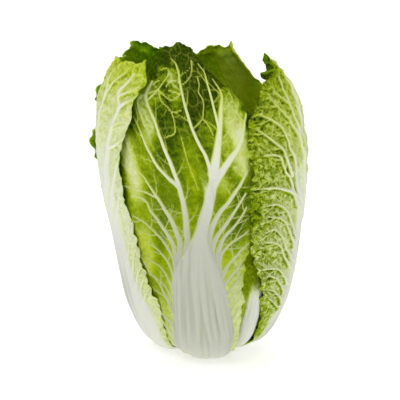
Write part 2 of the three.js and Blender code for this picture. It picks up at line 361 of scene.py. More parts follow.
class Tracer:
    """Finds the place on the face of a leaf that the photograph shows at a pixel."""

    def __init__(self, leaf, flat):
        c, v = np.meshgrid(np.linspace(-1, 1, TRACER_COLUMNS + 1), np.linspace(0, 1, TRACER_ROWS + 1))
        points = in_space(*lay_out(leaf, c, v)[:3])
        points = points if leaf.seen_inside else points + normals(points) * VEINS_ABOVE_FACE
        self.px, self.py = photo_pixels(points)
        self.slopes = [np.gradient(a, axis=axis) for a in (self.px, self.py) for axis in (1, 0)]
        x_c, x_v, y_c, y_v = self.slopes
        facing = x_c * y_v - x_v * y_c
        self.turned_away = facing < 0.01 if leaf.seen_inside else facing > -0.01
        self.x, self.y = flat.grid(c, v)

    def flat_path(self, pixels):
        path = []
        for px, py in pixels:
            gap = (self.px - px) ** 2 + (self.py - py) ** 2 + 1e4 * self.turned_away
            i, j = np.unravel_index(np.argmin(gap), gap.shape)
            x_c, x_v, y_c, y_v = (a[i, j] for a in self.slopes)
            off_x, off_y = px - self.px[i, j], py - self.py[i, j]
            area = x_c * y_v - x_v * y_c
            row = np.clip(i + np.clip((off_y * x_c - off_x * y_c) / area, -1, 1), 0, TRACER_ROWS - 0.01)
            column = np.clip(j + np.clip((off_x * y_v - off_y * x_v) / area, -1, 1), 0, TRACER_COLUMNS - 0.01)
            r, k, down, over = int(row), int(column), row % 1, column % 1
            x = mix(mix(*self.x[r, k : k + 2], over), mix(*self.x[r + 1, k : k + 2], over), down)
            path.append((x, mix(*self.y[r : r + 2, k], down)))
        return np.array(path)

    def patch(self, x, y, pixel, half_width, half_height):
        """1 round the pixel, falling to about a third at that many pixels from it and to 0 beyond."""
        px, py = pixel
        (x0, y0), (x1, y1), (x2, y2) = self.flat_path([pixel, (px + half_width, py), (px, py - half_height)])
        across, up = max(math.hypot(x1 - x0, y1 - y0), 1), max(math.hypot(x2 - x0, y2 - y0), 1)
        return 1 - smooth(np.hypot((x - x0) / across, (y - y0) / up), 0.4, 1.4)


def rounded(path):
    """The same path with more places and no corners."""
    ticks = np.linspace(0, 1, 5 * len(path))
    return np.stack([spline(path[:, 0], ticks), spline(path[:, 1], ticks)], 1)


def wandering(path, amount, seed):
    """The path with a slow sideways wander, none at its ends."""
    s = np.linspace(0, 1, len(path))
    shift = noise(path[:, 1], path[:, 0], 14, seed) * amount * np.sin(math.pi * s)
    return path + np.stack([shift, 0.4 * shift], 1)


BRANCH_TURN = (38, 62)  # degrees between a branch and its vein
BRANCH_PIECES = 5


def branch_off(veins, path, width, white, height, rng, spacing, level=0):
    """Smaller veins on both sides of path, leaving it at an acute angle towards the tip."""
    distances = lengths_along(path)

    def at(place):
        return np.array([np.interp(place, distances, path[:, 0]), np.interp(place, distances, path[:, 1])])

    place, side = spacing * rng.uniform(0.4, 0.9), rng.choice((-1, 1))
    while place < distances[-1] * 0.97:
        ahead = min(place + 2, distances[-1])
        dx, dy = at(ahead) - at(ahead - 2)
        heading = math.atan2(dy, dx) + side * math.radians(rng.uniform(*BRANCH_TURN))
        length = rng.uniform(0.7, 1.6) * spacing
        bend = -side * rng.uniform(0.0, 0.5)
        points = [at(place)]
        for _ in range(BRANCH_PIECES):
            heading += bend / BRANCH_PIECES + rng.uniform(-0.18, 0.18)
            x, y = points[-1]
            run, rise = math.cos(heading) * length, math.sin(heading) * length
            points.append((x + run / BRANCH_PIECES, y + rise / BRANCH_PIECES))
        points = np.array(points)
        veins.stroke(points, (width, width * 0.5), (white, white * 0.6), (height, height * 0.4), level == 0)
        if level == 0:
            branch_off(veins, points, width * 0.6, white * 0.7, height * 0.5, rng, spacing * 0.5, 1)
        place += spacing * rng.uniform(0.5, 0.9)
        side = -side


NEAR_MARGIN = 0.98  # how far towards the margin a side vein goes
NEAR_TIP = 0.985  # and how far towards the tip


def side_vein(flat, side, v0, steep, seed):
    """From the rib's edge, up along it and then out to the margin."""
    x0, y0 = flat.rib(side, v0) * 0.9, flat.y(v0)
    v1 = v0
    for _ in range(5):  # each round brings its end nearer to where its rise suits its run
        run = abs(flat.margin(side, v1) * NEAR_MARGIN - x0)
        v1 = min(flat.share(y0 + run * steep), NEAR_TIP)
    x1, y1 = flat.margin(side, v1) * NEAR_MARGIN, flat.y(v1)
    s = np.linspace(0, 1, 18)
    path = np.stack([x0 + (x1 - x0) * s**1.35, y0 + (y1 - y0) * (1 - (1 - s) ** 1.6)], 1)
    return wandering(path, 2.2, seed)


RIB_STRANDS = np.linspace(-0.92, 0.92, 11)  # where they lie across it
THIN_STRAND = 1.1  # a strand that is nowhere wider than this has no branches


def places_in_rib(flat, path):
    """How many of the path's places lie in the rib."""
    return sum(abs(x) < abs(flat.rib(math.copysign(1, x), flat.share(y))) for x, y in path)


def draw_veins(leaf, flat, tracer, veins):
    rng = np.random.default_rng(leaf.seed)
    size, relief = leaf.size, leaf.relief
    # the fleshy rib's own strands, which raise it but don't colour it
    for u in RIB_STRANDS:
        shares = np.linspace(0.02, leaf.rib_end * rng.uniform(0.75, 1.0), 12)
        path = [(u * abs(flat.rib(math.copysign(1, u), v)), flat.y(v)) for v in shares]
        veins.stroke(path, (1.7 * size, 0.9 * size), (0, 0), (0.9, 0.4), counts=False)
    # the main vein, from the rib to the tip
    if leaf.main_vein:
        path = np.array([(0, flat.y(v)) for v in np.linspace(leaf.rib_end - 0.25, 0.97, 20)])
        path = wandering(path, 1.5, leaf.seed + 5)
        veins.stroke(path, (4.0 * size, 0.8), (1, 0.8), (1.2 * relief, 0.7 * relief))
        branch_off(veins, path[5:], 1.0, 0.6, 0.6 * relief, rng, 16)
    # the strands that the photograph shows, with branches from where they leave the rib
    for widths, *pixels in leaf.strands:
        path = rounded(tracer.flat_path(pixels))
        whites = [min(1, 0.45 + 0.35 * width) for width in widths]
        veins.stroke(path, widths, whites, (1.5 * relief, 0.7 * relief))
        if max(widths) > THIN_STRAND:
            start = max(4, places_in_rib(flat, path))
            branch_off(veins, path[start:], leaf.twig, 0.55, 0.6 * relief, rng, leaf.branch_gap)
    # side veins up the rib and out to the margin, each with its strand lower down in the rib
    for side, (low, high, count) in leaf.side_veins.items():
        for i, t in enumerate(np.linspace(0, 1, count)):
            v0 = low + (high - low) * t + rng.uniform(-0.012, 0.012)
            steep = spline(leaf.steep, v0) * rng.uniform(0.85, 1.15)
            path = side_vein(flat, side, v0, steep, leaf.seed + 31 * i + side)
            width = mix(1.7, 1.0, v0) * (0.5 + 0.5 * size) * rng.uniform(0.6, 1.1)
            veins.stroke(path, (width, 0.5), (1, 0.6), (1.2 * relief, 0.6 * relief))
            v_low = max(v0 - 0.16, 0.01)
            start = (0.8 * flat.rib(side, v_low), flat.y(v_low))
            veins.stroke([start, path[0]], (1.2, width), (0, 1), (0.2, 0.7), counts=False)
            branch_off(veins, path, 0.7, 0.5, 0.5 * relief, rng, leaf.branch_gap)


# ---- A leaf's surface and colours ----
WAVE_SIZE = 26
PUCKER_SIZE = 7
NET_SIZE, NET_LINE, NET_SLOPE = 8.5, 0.9, 2.4  # of the meshes of small veins, and how wide they show and rise
FINE_NET_SIZE, FINE_NET_LINE, FINE_NET_SLOPE = 3.4, 0.5, 1.1
VALLEY = 2.6  # how far from a vein the blade has sunk most of the way
RIB_BLOOM = 0.3  # how much whiter the green is beside the rib
CURL_LENGTH = 2.1  # along the margin, for each radian of a curl
UNDER_CURL = 0.35  # share of its curls that a margin keeps where it lies under its neighbour's
OUTLINE_SPACING = 40  # keeps the outlines of the two margins apart in the noise
TOP = (0.87, 1)  # shares of the length over which the margin's curls spread right across
FOOT = (0.07, 0.13)  # and over which the foot, white right across, gives way to the blade


def grow(leaf):
    """The outer and inner faces, the flat coordinates and the colour fields of a leaf, all on one grid."""
    columns, rows = leaf.grid
    c, v = np.meshgrid(np.linspace(-1, 1, columns + 1), np.linspace(0, 1, rows + 1))
    azimuth, radius, z, across_rib = lay_out(leaf, c, v)
    flat = Flat(leaf)
    x, y = flat.grid(c, v)
    seed, to_margin, side = leaf.seed, np.abs(c), np.sign(c)
    tracer, veins = Tracer(leaf, flat), Veins(x, y)
    draw_veins(leaf, flat, tracer, veins)

    # the rib's outline, the white flesh in it, and the foot, which is white right across
    inside = both_sides(rib_half_angle, leaf, c, v) * flat.radius(v) - np.abs(x)
    in_outline = smooth(inside, -0.8, mix(0.8, 2.8, smooth(v, 0.2, 0.4)))
    in_outline = in_outline * (1 - smooth(v, leaf.rib_end - 0.05, leaf.rib_end + 0.12))
    in_rib = in_outline * (1 - smooth(v, leaf.rib_end - leaf.rib_fade, leaf.rib_end + 0.06))
    in_rib = np.maximum(in_rib, 1 - smooth(v + 0.05 * noise(x, y, 9, seed + 40), *FOOT))
    blade = 1 - in_rib
    # millimetres to the small veins, which are the walls of two nets of meshes with wandering lines
    warp = [2.2 * noise(x, y, 11, seed + 50 + i) + 1.2 * noise(x, y, 4, seed + 54 + i) for i in (0, 1)]
    bent = x + warp[0], y + warp[1]
    net = cell_edges(*bent, NET_SIZE, seed + 60) + 0.8 * smooth(noise(x, y, 10, seed + 62), -0.2, 0.5)
    fine_net = cell_edges(*bent, FINE_NET_SIZE, seed + 61)

    # curls and a ragged outline along the margins and the top
    top = smooth(v, *TOP)
    rim = np.maximum(smooth(to_margin, 0.7, 1) * smooth(v, 0.1, 0.35), top)
    curl = 0.55 * np.sin(y / CURL_LENGTH + 2.5 * noise(x, y, 16, seed + 70) + 3 * side)
    curl = curl + noise(x, y, 6.5, seed + 71)
    curl = np.where(edge_depth(leaf, c, v) > along(leaf.rib_depth, v), UNDER_CURL, 1) * curl
    frill = leaf.frill * rim**1.3 * (curl + 0.35 * top * noise(x, y, 4, seed + 72))
    margin_noise = [noise(y, side * OUTLINE_SPACING, size, seed + i) for size, i in ((9, 80), (3.6, 81))]
    wander = margin_noise[0] + 0.55 * margin_noise[1]
    azimuth = azimuth + side * leaf.ragged * wander * to_margin**7 * smooth(v, 0.1, 0.3) / radius
    for lobe_side, middle, half_height, reach in leaf.lobes:
        lobe = np.exp(-(((v - middle) / half_height) ** 2)) * to_margin**3 * (side == lobe_side)
        azimuth = azimuth + side * reach * lobe / radius
    z = z + leaf.ragged * (noise(x, 0, 8, seed + 82) + 0.6 * noise(x, 0, 3.2, seed + 83)) * smooth(v, 0.9, 1)

    # both faces, from the bare form, the blade's undulation, its valleys between veins, and the rib's body
    base = in_space(azimuth, radius, z)
    out = normals(base)
    rising = smooth(v, 0.05, 0.25)
    undulation = leaf.waves * layered_noise(x, y, WAVE_SIZE, seed + 90) * blade * rising
    undulation = undulation + leaf.puckers * layered_noise(x, y, PUCKER_SIZE, seed + 95) * blade * rising
    between = 1 - np.exp(-veins.near / VALLEY)
    net_relief = 0.45 * (1 - np.clip(net / NET_SLOPE, 0, 1))
    net_relief = net_relief + 0.25 * (1 - np.clip(fine_net / FINE_NET_SLOPE, 0, 1))
    sunk = -leaf.sink * between * blade + leaf.sink * 0.55 * net_relief * blade * between
    common = undulation + frill + sunk
    stripe = noise(across_rib * 4.5, y / 90, 1, seed + 93)
    stripe = stripe + 0.5 * noise(across_rib * 10, y / 50, 1, seed + 94)
    crown = np.maximum(0, 1 - across_rib**2) ** 0.8
    rib = RIB_THICKNESS * leaf.size * spline(RIB_THICKNESS_ALONG, v) * crown
    thick = BLADE_THICKNESS * (1 - 0.5 * rim) + rib
    bumps = veins.ridge * mix(0.4, 1, blade) + 0.5 * leaf.size * stripe * in_rib * smooth(inside, 0, 4)
    outer = base + out * (thick + common + bumps)[..., None]
    inner = base + out * common[..., None]

    # how green and white each place is, and how much painted shade greys it
    tone = spline(leaf.tone, v)
    tone = tone + spline(leaf.across, (c + 1) / 2) + 0.1 * layered_noise(x, y, 30, seed + 92)
    bloom = spline(leaf.bloom, v)
    # each patch changes the tone and bloom: some give the leaf's own colour, some are painted light over
    # shadows and dim faces, some painted shade
    for *patch, change, whitening in leaf.patches:
        place = tracer.patch(x, y, *patch)
        tone, bloom = tone + change * place, bloom + whitening * place
    # painted shade: the green is darker where the blade sinks between the veins
    tone = tone + 0.1 * between * (1 - net_relief) - 0.04
    # painted shadow just below each vein: darker where a ridge lies two rows further up the leaf
    above = np.concatenate([veins.ridge[2:], veins.ridge[-2:]])
    tone = tone + leaf.vein_shade * np.clip(above - veins.ridge, 0, 1)
    near_rib = np.exp(-np.maximum(across_rib - 1, 0) * 3) * (1 - smooth(v, 0.25, 0.6))
    tone = tone * (1 - 0.3 * near_rib)
    bloom = (bloom + RIB_BLOOM * near_rib) * (1 - smooth(tone, 0.45, 0.75))
    strand = veins.white * in_rib * smooth(v, 0.1, 0.26)
    white = np.maximum(veins.white * (0.35 + 0.65 * smooth(to_margin, 1.0, 0.9)), in_rib)
    # painted shade greys the rib's white flesh: less at the foot, none towards the rib's end, and a little
    # less on its strands
    shade = leaf.flesh_shade * mix(0.45, 1, smooth(v, 0.05, 0.26)) * np.clip(white, 0, 1)
    shade = shade * (1 - smooth(v, 0.45, 0.8)) * (1 - 0.25 * strand)
    # painted shade in the hollows between the rib's ridges, where the ridge noise is low
    stripes = leaf.stripes * smooth(-stripe, -0.2, 0.8) * (1 - smooth(v, 0.28, 0.5))
    stripes = stripes * in_rib * (1 - 0.5 * strand)
    net_line = np.maximum(1 - net / NET_LINE, 0.4 * (1 - fine_net / FINE_NET_LINE)).clip(0, 1)
    # the fine relief's field also carries painted shade for its dents and painted light for its tops
    crinkle = spline(leaf.crinkle, v) * spline(leaf.crinkle_across, (c + 1) / 2)
    fields = dict(
        tone=np.clip(tone, 0, 1.1) * (1 - in_rib),
        white=white,
        net=spline(leaf.net, v) * net_line,
        painted_rib_shade=shade + stripes,
        crinkle=crinkle * (1 - in_rib) * (1 - 0.8 * np.clip(veins.white, 0, 1)),
        bloom=np.maximum(bloom, 0.8 * in_outline),
        inner=np.zeros(x.shape),
    )
    return outer, inner, np.stack([x, y, np.zeros(x.shape)], -1), fields


# ---- Meshes ----
FLAT_UNIT = 10  # millimetres on the leaf for one unit of its shader's coordinates
FAINT = 0.3  # share of the net and of the rib's painted shade that shows on the inner face


def squares(grid):
    """The corners of each square of a grid of vertex numbers."""
    return np.stack([grid[:-1, :-1], grid[:-1, 1:], grid[1:, 1:], grid[1:, :-1]], -1).reshape(-1, 4)


def edge_ring(grid):
    """The vertex numbers once round the grid's edge."""
    return np.concatenate([grid[0, :-1], grid[:-1, -1], grid[-1, :0:-1], grid[:0:-1, 0]])


def linked(name, data):
    thing = bpy.data.objects.new(name, data)
    bpy.context.scene.collection.objects.link(thing)
    return thing


def leaf_mesh(leaf, outer, inner, flat, fields):
    """One closed mesh: the outer face on the full grid, the inner face on every other place, and the rim."""
    name = "look_" + leaf.name
    every_other = np.s_[::2, ::2]
    inner = inner[every_other]
    fine = np.arange(outer[..., 0].size).reshape(outer.shape[:2])
    coarse = fine.size + np.arange(inner[..., 0].size).reshape(inner.shape[:2])
    quads = np.concatenate([squares(fine), squares(coarse)[:, [0, 3, 2, 1]]])
    ring, c0 = edge_ring(fine), edge_ring(coarse)
    f0, f1, f2, c1 = ring[0::2], ring[1::2], np.roll(ring, -2)[0::2], np.roll(c0, -1)
    rim = np.concatenate([np.stack(trio, 1) for trio in ((f1, f0, c0), (f1, c0, c1), (f2, f1, c1))])

    points = np.concatenate([outer.reshape(-1, 3), inner.reshape(-1, 3)]) * MM
    mesh = bpy.data.meshes.new(name)
    mesh.vertices.add(len(points))
    mesh.vertices.foreach_set("co", points.astype(np.float32).ravel())
    corners = np.concatenate([quads.ravel(), rim.ravel()])
    starts = np.concatenate([np.arange(len(quads)) * 4, len(quads) * 4 + np.arange(len(rim)) * 3])
    mesh.loops.add(len(corners))
    mesh.loops.foreach_set("vertex_index", corners.astype(np.int32))
    mesh.polygons.add(len(starts))
    mesh.polygons.foreach_set("loop_start", starts.astype(np.int32))
    mesh.update(calc_edges=True)
    mesh.validate()
    mesh.shade_smooth()

    def give(key, kind, slot, on_outer, on_inner):
        values = np.concatenate([on_outer.ravel(), on_inner.ravel()]).astype(np.float32)
        mesh.attributes.new(key, kind, "POINT").data.foreach_set(slot, values)

    # what each field is multiplied by on the inner face, and what is added to it there
    faces_in = dict(tone=(1, leaf.inner_tone), white=(leaf.inner_white, 0), net=(FAINT, 0), painted_rib_shade=(FAINT, 0))
    faces_in.update(bloom=(0, 0), inner=(0, leaf.inner_green))
    for key, values in fields.items():
        share, added = faces_in.get(key, (1, 0))
        give(key, "FLOAT", "value", values, values[every_other] * share + added)
    flat = flat / FLAT_UNIT
    give("flat", "FLOAT_VECTOR", "vector", flat, flat[every_other])
    return linked(name, mesh)


# ---- Materials ----
def rgb(*display):
    """A display colour, 0 to 255, as the linear colour that shaders take."""
    shares = [value / 255 for value in display]
    return (*(c / 12.92 if c <= 0.04045 else ((c + 0.055) / 1.055) ** 2.4 for c in shares), 1)


class Nodes:
    """Short calls for building a node tree."""

    def __init__(self, name):
        self.material = bpy.data.materials.new(name)
        self.material.use_nodes = True
        self.tree = self.material.node_tree
        self.shader = self.tree.nodes["Principled BSDF"]

    def add(self, kind, inputs, **settings):
        node = self.tree.nodes.new(kind)
        for key, value in settings.items():
            setattr(node, key, value)
        self.feed(node, inputs)
        return node

    def feed(self, node, inputs):
        for key, value in inputs.items():
            socket = node.inputs[key]
            if isinstance(value, bpy.types.NodeSocket):
                self.tree.links.new(value, socket)
            else:
                socket.default_value = value

    def attribute(self, name, output="Fac"):
        return self.add("ShaderNodeAttribute", {}, attribute_name=name).outputs[output]

    def math(self, operation, a, b, clamp=False):
        return self.add("ShaderNodeMath", {0: a, 1: b}, operation=operation, use_clamp=clamp).outputs[0]

    def times(self, a, b):
        return self.math("MULTIPLY", a, b)

    def vary(self, value, fac, amount, clamp=False):
        """The value, moved up and down by a noise that is about a half."""
        return self.math("ADD", value, self.times(self.math("SUBTRACT", fac, 0.5), amount), clamp)

    def noise(self, place, scale, detail, roughness=0.5, distortion=0.0):
        inputs = {"Vector": place, "Scale": scale, "Detail": detail}
        inputs.update({"Roughness": roughness, "Distortion": distortion})
        return self.add("ShaderNodeTexNoise", inputs).outputs["Fac"]

    def spread(self, value, low, high, to_low=0.0, to_high=1.0):
        inputs = {"Value": value, "From Min": low, "From Max": high, "To Min": to_low, "To Max": to_high}
        return self.add("ShaderNodeMapRange", inputs, interpolation_type="SMOOTHSTEP").outputs[0]

    def blend(self, amount, a, b):
        """Colour a, and colour b where the amount is 1."""
        node = self.add("ShaderNodeMix", {"Factor": amount}, data_type="RGBA")
        places = [i for i, socket in enumerate(node.inputs) if socket.type == "RGBA"]
        self.feed(node, dict(zip(places, (a, b))))
        return next(socket for socket in node.outputs if socket.type == "RGBA")

    def ramp(self, value, stops):
        node = self.add("ShaderNodeValToRGB", {0: value})
        elements = node.color_ramp.elements
        for _ in range(len(stops) - 2):
            elements.new(0.5)
        for element, (place, colour) in zip(elements, stops):
            element.position, element.color = place, colour
        return node.outputs[0]

    def bump(self, height, strength, distance):
        inputs = {"Height": height, "Strength": strength, "Distance": distance}
        return self.add("ShaderNodeBump", inputs).outputs[0]


LEAF_TONES = [
    (0.0, rgb(222, 230, 175)),
    (0.15, rgb(205, 217, 100)),
    (0.3, rgb(186, 202, 40)),
    (0.45, rgb(162, 182, 8)),
    (0.6, rgb(134, 158, 2)),
    (0.75, rgb(100, 126, 1)),
    (0.9, rgb(64, 90, 1)),
    (1.0, rgb(42, 64, 2)),
]
FLESH = rgb(226, 227, 217)
PAINTED_SHADE_GREY = rgb(166, 169, 150)
BLOOM = rgb(231, 237, 216)
INNER_GREEN = rgb(134, 190, 0)
PALE_VEIN = rgb(208, 220, 84)
CUT_FLESH = rgb(226, 222, 192)
CUT_PITH = rgb(206, 198, 154)
FIBRE_BUNDLE = rgb(168, 152, 98)


def leaf_material():
    n = Nodes("leaf_tissue")
    tone, white, net = n.attribute("tone"), n.attribute("white"), n.attribute("net")
    bloom, crinkle = n.attribute("bloom"), n.attribute("crinkle")
    flat = n.attribute("flat", "Vector")
    mottle = n.noise(flat, scale=1.6, detail=5.0, roughness=0.6)
    speck = n.noise(flat, scale=9.0, detail=3.0)
    pucker = n.noise(flat, scale=2.6, detail=4.0, roughness=0.6, distortion=0.7)
    tone = n.vary(tone, mottle, 0.18)
    tone = n.vary(tone, speck, 0.12)
    # painted shade in the dents of the fine relief and painted light on its tops, from the same noise as the
    # bump below
    tone = n.vary(tone, pucker, n.times(crinkle, 1.8), clamp=True)
    colour = n.blend(n.times(bloom, n.spread(tone, 0.25, 0.6, 1.0, 0.0)), n.ramp(tone, LEAF_TONES), BLOOM)
    colour = n.blend(n.attribute("inner"), colour, INNER_GREEN)

    cells = n.add("ShaderNodeTexVoronoi", {"Vector": flat, "Scale": 4.6}, feature="DISTANCE_TO_EDGE")
    to_wall = cells.outputs["Distance"]
    lines = n.math("MAXIMUM", n.spread(to_wall, 0.0, 0.1, 0.05, 0.0), n.times(net, 0.85))
    lines = n.times(lines, n.math("SUBTRACT", 1.0, white, clamp=True))
    pale_vein = n.blend(bloom, PALE_VEIN, BLOOM)
    colour = n.blend(lines, colour, pale_vein)
    vein = n.blend(n.spread(white, 0.55, 1.0), pale_vein, FLESH)
    colour = n.blend(n.spread(white, 0.05, 0.8), colour, vein)
    # painted shade greys the rib's flesh and the hollows between its ridges
    colour = n.blend(n.times(n.attribute("painted_rib_shade"), 0.7), colour, PAINTED_SHADE_GREY)

    height = n.math("ADD", n.times(n.spread(to_wall, 0.0, 0.25, 1.0, 0.0), 0.6), n.times(speck, 0.5))
    height = n.math("SUBTRACT", height, n.times(pucker, n.times(crinkle, 4.0)))
    height = n.times(height, n.spread(white, 0.3, 1.0, 1.0, 0.12))
    roughness = n.spread(white, 0.2, 1.0, 0.5, 0.36)
    bump = n.bump(height, strength=0.8, distance=0.0007)
    n.feed(n.shader, {"Base Color": colour, "Roughness": roughness, "Normal": bump})
    n.feed(n.shader, {"Subsurface Weight": 0.4, "Subsurface Radius": (0.8, 1.0, 0.3)})
    n.feed(n.shader, {"Subsurface Scale": 0.002, "Specular IOR Level": 0.0})
    return n.material


def stump_material():
    n = Nodes("cut_stem")
    place = n.add("ShaderNodeTexCoord", {}).outputs["Object"]
    x, y, _ = n.add("ShaderNodeSeparateXYZ", {0: place}).outputs
    radius = n.math("POWER", n.math("ADD", n.times(x, x), n.times(y, y)), 0.5)
    pith = n.noise(place, scale=260.0, detail=5.0)
    bundles = n.add("ShaderNodeTexVoronoi", {"Vector": place, "Scale": 420.0}).outputs["Distance"]
    ring = n.times(n.spread(radius, 0.013, 0.0155), n.spread(radius, 0.0175, 0.0205, 1.0, 0.0))
    colour = n.blend(n.spread(pith, 0.4, 0.75, 0.0, 0.5), CUT_FLESH, CUT_PITH)
    colour = n.blend(n.times(ring, n.spread(bundles, 0.1, 0.4, 0.75, 0.1)), colour, FIBRE_BUNDLE)
    bump = n.bump(pith, strength=0.5, distance=0.0005)
    n.feed(n.shader, {"Base Color": colour, "Roughness": 0.55, "Normal": bump})
    return n.material


# ---- The leaves ----
OVER = 0.02  # depth of a margin that lies over its neighbour's
UNDER = 0.105  # and of one that lies under it
# Veins that the photograph shows: half-widths along each, then the pixels that it passes, from its foot.
FRONT_VEINS = [
    [(1.6, 3.8, 1.6, 0.7), (199, 336), (198, 310), (196, 285), (195, 265), (196, 250), (199, 232),
     (203, 215), (208, 198), (211, 182), (210, 170), (206, 157), (201, 148), (196, 138), (191, 126),
     (187, 113), (184, 103), (181, 90), (179, 79), (178, 71), (176, 64)],
    [(4, 0.4), (213, 176), (216, 160), (218, 145), (220, 127), (221, 109), (222, 96), (219, 88), (212, 78)],
    [(1.2, 0.5), (220, 133), (217, 121), (213, 105), (210, 93), (206, 78), (204, 71), (199, 63)],
    [(1.6, 3, 3.4, 0.8), (209, 336), (205, 310), (202, 285), (201, 265), (202, 250), (204, 232), (208, 212),
     (212, 192), (215, 182), (222, 172), (230, 160), (238, 149), (243, 136), (245, 124), (246, 114)],
    [(1.4, 3.2, 0.8), (217, 336), (213, 312), (211, 288), (208, 268), (207, 250), (209, 239), (214, 224),
     (220, 213), (228, 204), (234, 195), (240, 186), (248, 171)],
    [(1.3, 2.7, 0.8), (224, 336), (219, 312), (216, 288), (213, 268), (212, 253), (214, 244), (218, 236),
     (225, 226), (232, 216), (239, 206), (246, 194)],
    [(1.2, 2.4, 0.7), (228, 336), (224, 312), (221, 288), (218, 268), (218, 256), (220, 248), (223, 240),
     (229, 232), (235, 226), (241, 218), (247, 208)],
    [(1.1, 1.8, 0.7), (232, 336), (228, 312), (224, 290), (220, 272), (220, 261), (222, 254), (226, 249),
     (232, 243), (240, 238), (249, 231)],
    [(1.5, 0.6), (222, 278), (227, 268), (236, 257), (243, 249), (249, 243)],
    [(1.4, 0.6), (223, 287), (230, 278), (238, 269), (245, 263), (250, 261)],
    [(1.2, 0.6), (226, 297), (232, 288), (239, 281), (245, 275)],
    [(1.1, 0.5), (228, 305), (233, 297), (239, 290), (244, 285)],
    [(1, 0.5), (230, 314), (235, 305), (241, 298), (245, 294)],
    [(1, 0.5), (231, 324), (236, 315), (241, 308), (244, 303)],
    [(1.5, 2.5, 1.9, 0.8), (190, 336), (188, 310), (186, 285), (186, 265), (186, 250), (187, 240),
     (186, 225), (184, 208), (181, 195), (176, 179), (170, 163), (166, 154), (163, 146), (159, 134),
     (155, 120), (152, 108), (151, 98), (153, 88), (155, 81)],
    [(2, 0.8), (178, 187), (171, 181), (161, 171), (151, 157), (145, 146), (142, 137), (139, 127),
     (137, 118)],
    [(1.3, 2.1, 0.8), (182, 336), (180, 310), (180, 285), (178, 268), (179, 256), (179, 243), (175, 230),
     (169, 217), (160, 203), (150, 188), (144, 178), (138, 172), (132, 167)],
    [(1, 0.6), (156, 198), (148, 194), (140, 191), (130, 188), (121, 186)],
    [(1.2, 1.7, 0.7), (177, 336), (176, 310), (175, 285), (176, 268), (173, 248), (167, 235), (158, 221),
     (150, 211), (146, 203), (140, 198), (130, 196)],
    [(1.3, 0.6), (175, 270), (171, 257), (164, 244), (157, 235), (148, 226), (140, 220), (132, 216)],
    [(1.2, 0.6), (174, 280), (170, 268), (162, 256), (154, 248), (146, 243)],
    [(1.1, 0.5), (173, 292), (168, 280), (160, 268), (152, 262), (147, 259)],
    [(1, 0.5), (173, 304), (168, 292), (161, 283), (153, 277)],
    [(1, 0.5), (173, 316), (168, 304), (162, 296), (155, 291)],
    [(0.5, 0.5), (198, 190), (193, 176), (188, 162), (184, 148), (181, 137)],
    [(0.6, 0.5), (191, 60), (191, 72), (187, 80), (182, 84)],
    [(0.55, 0.5), (197, 77), (199, 85), (198, 92), (203, 101), (203, 111), (202, 119), (194, 128)],
    [(0.52, 0.5), (202, 119), (208, 125), (213, 135)],
    [(0.6, 0.5), (208, 64), (212, 72)],
    [(0.55, 0.5), (224, 138), (233, 124), (236, 113), (238, 100), (233, 90)],
    [(0.52, 0.5), (233, 99), (228, 87), (225, 82)],
    [(0.52, 0.5), (233, 124), (238, 137)],
    [(0.52, 0.5), (233, 100), (225, 110)],
    [(0.55, 0.5), (160, 89), (165, 79), (169, 71), (165, 67), (161, 69)],
    [(0.52, 0.5), (160, 89), (156, 84), (160, 80)],
    [(0.55, 0.5), (160, 89), (152, 100), (145, 98)],
    [(0.55, 0.5), (160, 89), (164, 95), (171, 100), (179, 95)],
    [(0.55, 0.5), (160, 89), (162, 101), (171, 112), (175, 132), (166, 137)],
    [(0.52, 0.5), (171, 112), (181, 111)],
    [(0.55, 0.5), (145, 126), (144, 112), (146, 100), (153, 94), (160, 89)],
    [(0.52, 0.5), (179, 82), (171, 80), (166, 86)],
    [(0.52, 0.5), (181, 94), (174, 92), (168, 90)],
    [(0.55, 0.5), (176, 64), (170, 57)],
]
